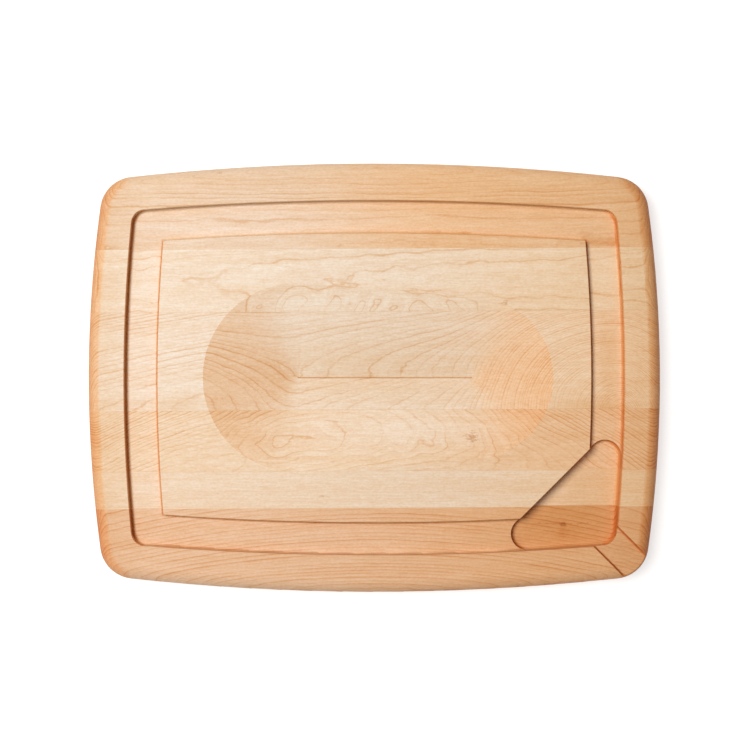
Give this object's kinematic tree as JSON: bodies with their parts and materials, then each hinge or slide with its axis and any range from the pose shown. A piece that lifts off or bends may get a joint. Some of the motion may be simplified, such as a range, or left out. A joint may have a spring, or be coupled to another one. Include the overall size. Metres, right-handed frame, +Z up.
{
  "type": "cutting board",
  "caption": "Edge-glued maple carving board with bowed sides and rounded edges, a juice groove round a dished field, a corner juice pocket and a pour spout.",
  "frame": {"origin": "centre of the underside, on the surface the board rests on", "axes": "+X along the grain and the longest side, towards the end with the juice pocket; +Y across the staves towards the back edge; +Z up out of the carving face"},
  "size_m": [0.508, 0.381, 0.0318],
  "materials": {
    "maple_cream": "sanded and oiled",
    "maple_tan": "sanded and oiled",
    "glue": "cured wood adhesive, sanded flush"
  },
  "bodies": {
    "root": {"stave_1_back_edge": "maple_tan", "stave_2": "maple_cream", "stave_3": "maple_cream", "stave_4": "maple_cream", "stave_5": "maple_cream", "stave_6_front_edge": "maple_tan", "glue_line_1": "glue", "glue_line_2": "glue", "glue_line_3": "glue", "glue_line_4": "glue", "glue_line_5": "glue"}
  },
  "joints": []
}
